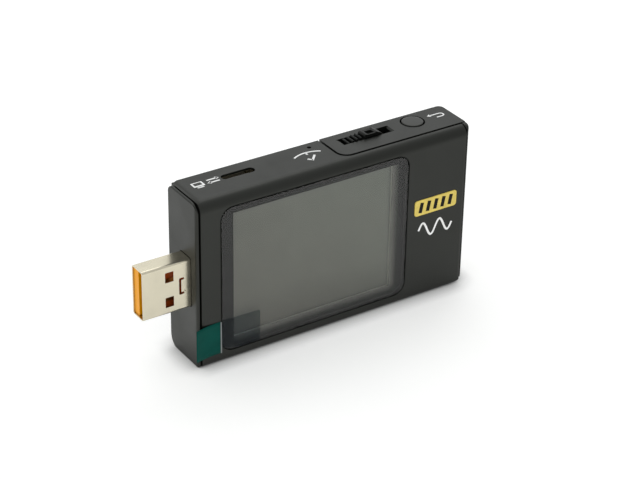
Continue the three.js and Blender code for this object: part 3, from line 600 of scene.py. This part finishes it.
def pull_tab():
    """The tab of the film: a thin sheet that leaves the window's edge and curls forward at its free end."""
    columns, rows = 24, 8
    thickness = 0.1
    curl_power = 2.2
    low_curl, extra_curl = 0.92, 0.08
    sag = 0.05
    width = TAB_HIGH.x - TAB_LOW.x
    lift = TAB_HIGH.y - TAB_LOW.y
    height = TAB_HIGH.z - TAB_LOW.z
    bm = bmesh.new()
    grid = []
    for i in range(columns + 1):
        out = i / columns
        line = []
        for j in range(rows + 1):
            up = j / rows
            curl = lift * (out ** curl_power) * (low_curl + extra_curl * up)
            slack = sag * math.sin(math.pi * up) * out
            x = TAB_HIGH.x - width * out
            y = TAB_HIGH.y - curl + slack
            z = TAB_LOW.z + height * up
            line.append(bm.verts.new((x, y, z)))
        grid.append(line)
    for i in range(columns):
        for j in range(rows):
            bm.faces.new((grid[i][j], grid[i + 1][j], grid[i + 1][j + 1], grid[i][j + 1]))
    made = to_object(bm)
    thick = made.modifiers.new("thick", "SOLIDIFY")
    thick.thickness = thickness
    thick.offset = 0
    bake(made)
    commit(made, "film_pull_tab_sheet", TAB, "root", ["film_pull_tab"])
    # painted highlight: a thin grey strip at the tab's root stands in for the glint on its fold
    fold_low = Vector((TAB_HIGH.x - 0.1, TAB_HIGH.y - 0.14, TAB_LOW.z))
    fold_high = Vector((TAB_HIGH.x + 0.22, TAB_HIGH.y - 0.06, TAB_HIGH.z - 0.1))
    fold_glint = plate(fold_low, fold_high, 0.1, fold_low.y, fold_high.y, 0.02, 4)
    commit(fold_glint, "film_tab_fold_glint", FOLD_GLINT, "root")


def badge():
    """A small yellow plate with a row of plain bars."""
    face = BADGE_LOW.y
    corner, edge = 0.7, 0.06
    made = plate(BADGE_LOW, BADGE_HIGH, corner, face, BADGE_HIGH.y, edge)
    commit(made, "front_badge_plate", BADGE, "root", ["front_badge"])
    bars, bar_width, slant = 5, 0.95, 0.25
    side_inset, end_inset = 0.75, 0.7
    step = (BADGE_HIGH.x - BADGE_LOW.x - 2 * side_inset) / bars
    low = BADGE_LOW.z + end_inset
    high = BADGE_HIGH.z - end_inset
    for i in range(bars):
        x = BADGE_LOW.x + side_inset + step * (i + 0.5)
        outline = ribbon([(x - slant, low), (x + slant, high)], bar_width)
        mark = soften(prism(outline, "y", face - INK, face + INK_ROOT), 0.01, 1)
        commit(mark, f"badge_bar_{i + 1}", BLACK_PRINT, "root")


# ---- Printed marks: plain pictograms in raised white ink ----

LINE = 0.42


def front_mark(outline, name):
    made = prism(outline, "y", FRONT - INK, FRONT + INK_ROOT)
    commit(made, name, PRINT, "root")


def top_mark(outline, name, level=TOP):
    made = prism(outline, "z", level - INK_ROOT, level + INK)
    commit(made, name, PRINT, "root")


def wave_mark():
    """Two periods of a sine wave on the front, below the yellow plate."""
    start, end, middle_z = LEFT + 57.4, LEFT + 66.6, 17.4
    height, turn, steps = 1.7, 4 * math.pi, 48
    wave = []
    for i in range(steps + 1):
        x = start + (end - start) * i / steps
        wave.append((x, middle_z + height * math.sin(turn * i / steps)))
    front_mark(ribbon(wave, LINE + 0.08), "wave_mark")


def data_marks():
    """Beside the data port: a screen on a foot, and an arrow each way."""
    monitor_x, monitor_y = LEFT + 5.0, FRONT + 8.2
    half_x, half_y = 1.35, 0.95
    left, right = monitor_x - half_x, monitor_x + half_x
    low, high = monitor_y - half_y, monitor_y + half_y
    made = prism(rounded(left, right, low, high, 0.15, 3), "z", TOP - INK_ROOT, TOP + INK)
    screen = rounded(left + 0.4, right - 0.4, low + 0.5, high - 0.3, 0.05, 2)
    cut(made, prism(screen, "z", TOP - 1, TOP + 1))
    commit(made, "monitor_mark", PRINT, "root")
    foot = [(monitor_x - 0.8, monitor_y - 1.35), (monitor_x + 0.8, monitor_y - 1.35)]
    top_mark(ribbon(foot, 0.4), "monitor_foot_mark")
    middle = monitor_x + 3.75
    for i, way in enumerate((-1, 1)):
        y = monitor_y + way * 0.6
        shaft = [(middle - 1.3, y), (middle + 1.3, y)]
        top_mark(ribbon(shaft, LINE), f"data_shaft_mark_{i + 1}")
        tip = middle + way * 1.75
        head = [(tip, y), (tip - way * 0.9, y + 0.6), (tip - way * 0.9, y - 0.6)]
        top_mark(head, f"data_head_mark_{i + 1}")


def rock_marks():
    """Left of the lever: an arc with a short tick for its rocking, and a check sign for its press."""
    rock_x, rock_y = LEFT + 32.15, FRONT + 2.2
    top_mark(ribbon(arc(rock_x, rock_y, 6.4, 122, 58, 16), LINE), "rock_arc_mark")
    top_mark(ribbon([(rock_x, rock_y + 5.4), (rock_x, rock_y + 6.3)], 0.45), "rock_tick_mark")
    check = [(rock_x - 1.1, FRONT + 5.9), (rock_x - 0.3, FRONT + 5.0), (rock_x + 1.3, FRONT + 6.8)]
    top_mark(ribbon(check[:2], 0.5), "confirm_mark_1")
    top_mark(ribbon([(check[1][0] - 0.15, check[1][1] - 0.15), check[2]], 0.5), "confirm_mark_2")


def return_marks():
    """Beside the round button: an arrow that bends back."""
    back_x, back_y = LEFT + 67.4, FRONT + 8.3
    bend = [(back_x - 1.6, back_y + 0.7), (back_x + 0.9, back_y + 0.7)]
    bend += arc(back_x + 0.9, back_y, 0.7, 90, -90, 8)[1:] + [(back_x - 0.6, back_y - 0.7)]
    top_mark(ribbon(bend, 0.34), "return_mark", PANEL_TOP)
    tip = [(back_x - 2.4, back_y + 0.7), (back_x - 1.5, back_y + 1.3), (back_x - 1.5, back_y + 0.1)]
    top_mark(tip, "return_head_mark", PANEL_TOP)


# ---- Plug ----

def plug_shell():
    """The folded plug shell: two windows a side, a latch cut and a dimple in front, and a seam behind."""
    sheet, radius = 0.3, 0.6
    edge, edge_segments, edge_angle = 0.14, 3, 40
    middle_y = (PLUG_LOW.y + PLUG_HIGH.y) / 2
    middle_z = (PLUG_LOW.z + PLUG_HIGH.z) / 2
    outer = rounded(PLUG_LOW.y, PLUG_HIGH.y, PLUG_LOW.z, PLUG_HIGH.z, radius)
    inner = rounded(
        PLUG_LOW.y + sheet, PLUG_HIGH.y - sheet, PLUG_LOW.z + sheet, PLUG_HIGH.z - sheet, radius - sheet
    )
    tube = prism(outer, "x", PLUG_LOW.x, PLUG_HIGH.x)
    tools = [prism(inner, "x", PLUG_LOW.x - 1, PLUG_HIGH.x + 1)]
    window_x, window_place = PLUG_LOW.x + 6.5, 3.05
    half_x, half_z, window_corner = 1, 1.2, 0.12
    for side in (-1, 1):
        z = middle_z + side * window_place
        window = rounded(window_x - half_x, window_x + half_x, z - half_z, z + half_z, window_corner, 3)
        tools.append(prism(window, "y", -THROUGH, THROUGH))
    latch_x, latch_reach, arm_place, arm_length = LEFT - 2.6, 1.95, 1.76, 0.95
    half = 0.25
    slot_corner = half - 0.01
    near, far = PLUG_LOW.y - 1, PLUG_LOW.y + 1
    upright = rounded(
        latch_x - half, latch_x + half, middle_z - latch_reach, middle_z + latch_reach, slot_corner, 4
    )
    tools.append(prism(upright, "y", near, far))
    for side in (-1, 1):
        z = middle_z + side * arm_place
        arm = rounded(latch_x - half, latch_x + arm_length, z - half, z + half, slot_corner, 4)
        tools.append(prism(arm, "y", near, far))
    dimple_depth = 0.15
    dimple = arc(LEFT - 1.35, middle_z - 1.3, 0.25, 0, 345, 15)
    tools.append(prism(dimple, "y", near, PLUG_LOW.y + dimple_depth))
    gap = 0.04
    seam = [
        (PLUG_LOW.x - 1, middle_z - gap),
        (PLUG_HIGH.x + 1, middle_z - gap),
        (PLUG_HIGH.x + 1, middle_z + gap),
        (PLUG_LOW.x - 1, middle_z + gap),
    ]
    tools.append(prism(seam, "y", middle_y + 1, THROUGH))
    cut(tube, *tools)
    soften(tube, edge, edge_segments, edge_angle)
    commit(tube, "plug_shell_formed", SILVER, "root", ["usb_a_plug_shell"])


def plug_tongue():
    """The moulded tongue: a blade with soft edges, and the thicker block that it grows from."""
    block_x, blade_thickness = LEFT - 1.2, 1.95
    corner = 0.3
    edge, edge_segments, edge_angle = 0.18, 3, 40
    block = rounded(TONGUE_LOW.y, TONGUE_HIGH.y, TONGUE_LOW.z, TONGUE_HIGH.z, corner, 4)
    face = TONGUE_HIGH.y - blade_thickness
    blade = rounded(face, TONGUE_HIGH.y, TONGUE_LOW.z, TONGUE_HIGH.z, corner, 4)
    made = join(prism(blade, "x", TONGUE_LOW.x, TONGUE_HIGH.x), prism(block, "x", block_x, TONGUE_HIGH.x))
    soften(made, edge, edge_segments, edge_angle)
    commit(made, "plug_tongue_moulded", TONGUE, "root", ["plug_tongue"])


# ---- Controls ----

def jog_profile():
    """The lever's outline in X and Z, from its underside round over the plain slope, thumb rest and ribs."""
    middle = (PIN_LOW.x + PIN_HIGH.x) / 2
    top = PANEL_TOP
    under = top - 2.75
    points = [(4.45, under), (4.6, top - 1.0)]
    points += [(4.35, top - 0.5), (3.7, top + 0.05), (3.1, top + 0.45), (2.6, top + 0.72)]
    points += arc(2.1, top + 0.5, 0.42, 50, 120, 5)
    points += [(1.5, top + 0.8), (0.0, top + 0.78)]
    points += arc(-0.75, top + 0.42, 0.5, 60, 160, 6)
    ribs, pitch, groove, groove_depth = 4, 1.06, 0.34, 0.6
    for i in range(ribs):
        x = -1.3 - pitch * i
        height = top + 0.46 - 0.03 * i - 0.045 * i * i
        points += [(x, height - groove_depth), (x - groove, height - groove_depth)]
        points += arc(x - groove - (pitch - groove) / 2, height - 0.2, 0.3, 20, 160, 4)
    points += [(-5.5, top - 0.95), (-5.3, under)]
    neck = [(-1.3, under - 0.25), (-1.12, PIN_HIGH.z)]
    hub = arc(0, (PIN_LOW.z + PIN_HIGH.z) / 2, 1.12, 190, 350, 10)
    rise = [(1.12, PIN_HIGH.z), (1.3, under - 0.25)]
    return [(middle + x, z) for x, z in points + neck + hub + rise]


def jog_lever():
    """The ribbed lever, with a narrow neck, a bore for the pin and a shallow dish for the thumb."""
    neck_half, bore = 0.75, 0.56
    edge, edge_segments, edge_angle = 0.09, 2, 30
    middle_x = (PIN_LOW.x + PIN_HIGH.x) / 2
    pivot_z = (PIN_LOW.z + PIN_HIGH.z) / 2
    made = prism(jog_profile(), "y", JOG_LOW.y, JOG_HIGH.y)
    middle_y = (JOG_LOW.y + JOG_HIGH.y) / 2
    tools = []
    for side in (-1, 1):
        near, far = sorted((middle_y + side * neck_half, middle_y + side * 3))
        space = [(middle_x - 10, near), (middle_x + 10, near), (middle_x + 10, far), (middle_x - 10, far)]
        tools.append(prism(space, "z", TOP - 6.2, TOP - 2.75))
    tools.append(prism(arc(middle_x, pivot_z, bore, 0, 345, 23), "y", -THROUGH, THROUGH))
    dish = rounded(middle_x - 0.2, middle_x + 1.6, middle_y - 0.95, middle_y + 0.45, 0.2, 3)
    tools.append(prism(dish, "z", PANEL_TOP + 0.25, PANEL_TOP + 2))
    cut(made, *tools)
    soften(made, edge, edge_segments, edge_angle)
    commit(made, "jog_lever_ribbed", LEVER, "jog_wheel", ["jog_wheel"])


def button_cap():
    """A low-crowned round cap, turned from a profile."""
    radius = (BUTTON_HIGH.x - BUTTON_LOW.x) / 2
    centre = (BUTTON_LOW + BUTTON_HIGH) / 2
    top, bottom = BUTTON_HIGH.z, BUTTON_LOW.z
    round_over, chamfer, crown = 0.22, 0.1, 0.06
    shoulder = top - crown - round_over
    profile = [(0, bottom), (radius - chamfer, bottom), (radius, bottom + chamfer), (radius, shoulder)]
    profile += arc(radius - round_over, shoulder, round_over, 0, 80, 5)[1:]
    profile += [(radius * share, top - crown * share ** 2) for share in (0.75, 0.5, 0.25)]
    profile += [(0, top)]
    bm = bmesh.new()
    verts = [bm.verts.new((r, 0, z)) for r, z in profile]
    edges = [bm.edges.new(pair) for pair in zip(verts, verts[1:])]
    turn = {"cent": (0, 0, 0), "axis": (0, 0, 1), "angle": 2 * math.pi, "steps": 64, "use_merge": True}
    bmesh.ops.spin(bm, geom=verts + edges, **turn)
    bmesh.ops.remove_doubles(bm, verts=bm.verts, dist=1e-4)
    bmesh.ops.translate(bm, verts=bm.verts, vec=(centre.x, centre.y, 0))
    commit(to_object(bm), "back_button_cap", CONTROL, "back_button", ["back_button"])


# ---- Stage ----

CAMERA = {"azimuth": -33.693, "elevation": 29.902, "roll": 1.102, "distance": 442.345, "focal": 114.11}
CAMERA_TARGET = Vector((LEFT + 30.751, FRONT, 23.125))
FLOOR_GLOW = 0.38
SHADOW_REACH = 4.5
BACKDROP = {"toward": (0.05, 0.86, 0.5), "dim": 0.7, "bright": 0.97}
SHEET_FACES = 24


def stage_camera():
    azimuth = math.radians(CAMERA["azimuth"])
    elevation = math.radians(CAMERA["elevation"])
    back = Vector((
        math.sin(azimuth) * math.cos(elevation),
        -math.cos(azimuth) * math.cos(elevation),
        math.sin(elevation),
    ))
    camera = bpy.data.objects.new("camera", bpy.data.cameras.new("camera"))
    camera.data.lens = CAMERA["focal"]
    camera.data.clip_start = 0.01
    camera.data.clip_end = 10
    camera.location = (CAMERA_TARGET + back * CAMERA["distance"]) * MM
    facing = (-back).to_track_quat("-Z", "Y").to_matrix()
    roll = Matrix.Rotation(math.radians(CAMERA["roll"]), 3, "Z")
    camera.rotation_euler = (facing @ roll).to_euler()
    bpy.context.scene.collection.objects.link(camera)
    bpy.context.scene.camera = camera


def area_light(name, place, target, size, power):
    light = bpy.data.objects.new(name, bpy.data.lights.new(name, "AREA"))
    light.data.shape = "RECTANGLE"
    light.data.size, light.data.size_y = size
    light.data.energy = power
    light.location = place
    light.rotation_euler = (Vector(target) - Vector(place)).to_track_quat("-Z", "Y").to_euler()
    bpy.context.scene.collection.objects.link(light)


def stage_floor():
    bm = bmesh.new()
    bmesh.ops.create_grid(bm, x_segments=1, y_segments=1, size=3)
    floor = to_object(bm, "floor")
    g = Graph("floor_white")
    paper = g.mix(g.spread(g.noise(60, detail=2), 0.0, 1.0), (0.80, 0.80, 0.79), (0.82, 0.82, 0.81))
    g.set(Roughness=0.7, Specular_IOR_Level=0.2)
    # painted contact shadow: ambient occlusion darkens the floor's colour and dims its glow close around the
    # object
    contact_shadow_ao = g.add("ShaderNodeAmbientOcclusion")
    contact_shadow_ao.samples = 16
    contact_shadow_ao.inputs["Distance"].default_value = SHADOW_REACH * MM
    g.set(Base_Color=g.mix(contact_shadow_ao.outputs["AO"], (0.1, 0.1, 0.1), paper))
    g.set(Emission_Color=(1.0, 1.0, 1.0))
    g.set(Emission_Strength=g.maths("MULTIPLY", contact_shadow_ao.outputs["AO"], FLOOR_GLOW))
    floor.data.materials.append(g.material)


def stage_world():
    """A white tent: brightest behind the object and 30 degrees up, dimmer on the camera's side."""
    world = bpy.data.worlds.new("studio")
    world.use_nodes = True
    tree = world.node_tree
    place = tree.nodes.new("ShaderNodeTexCoord").outputs["Generated"]
    dot = tree.nodes.new("ShaderNodeVectorMath")
    dot.operation = "DOT_PRODUCT"
    tree.links.new(place, dot.inputs[0])
    dot.inputs[1].default_value = BACKDROP["toward"]
    spread = tree.nodes.new("ShaderNodeMapRange")
    spread.interpolation_type = "SMOOTHSTEP"
    tree.links.new(dot.outputs["Value"], spread.inputs["Value"])
    spread.inputs["From Min"].default_value = -0.2
    spread.inputs["From Max"].default_value = 0.85
    spread.inputs["To Min"].default_value = BACKDROP["dim"]
    spread.inputs["To Max"].default_value = BACKDROP["bright"]
    background = tree.nodes["Background"]
    background.inputs["Color"].default_value = (0.985, 1.0, 1.0, 1)
    tree.links.new(spread.outputs["Result"], background.inputs["Strength"])
    bpy.context.scene.world = world


def stage_light():
    stage_world()
    bpy.context.scene.view_settings.view_transform = "Standard"
    bpy.context.scene.cycles.transparent_max_bounces = SHEET_FACES
    area_light("key", place=(0.3, 0.35, 0.6), target=(0, 0, 0.02), size=(0.35, 0.35), power=0.45)


dress_nodes()
display_pieces()
pull_tab()
badge()
wave_mark()
data_marks()
rock_marks()
return_marks()
plug_shell()
plug_tongue()
jog_lever()
button_cap()
stage_floor()
stage_light()
stage_camera()
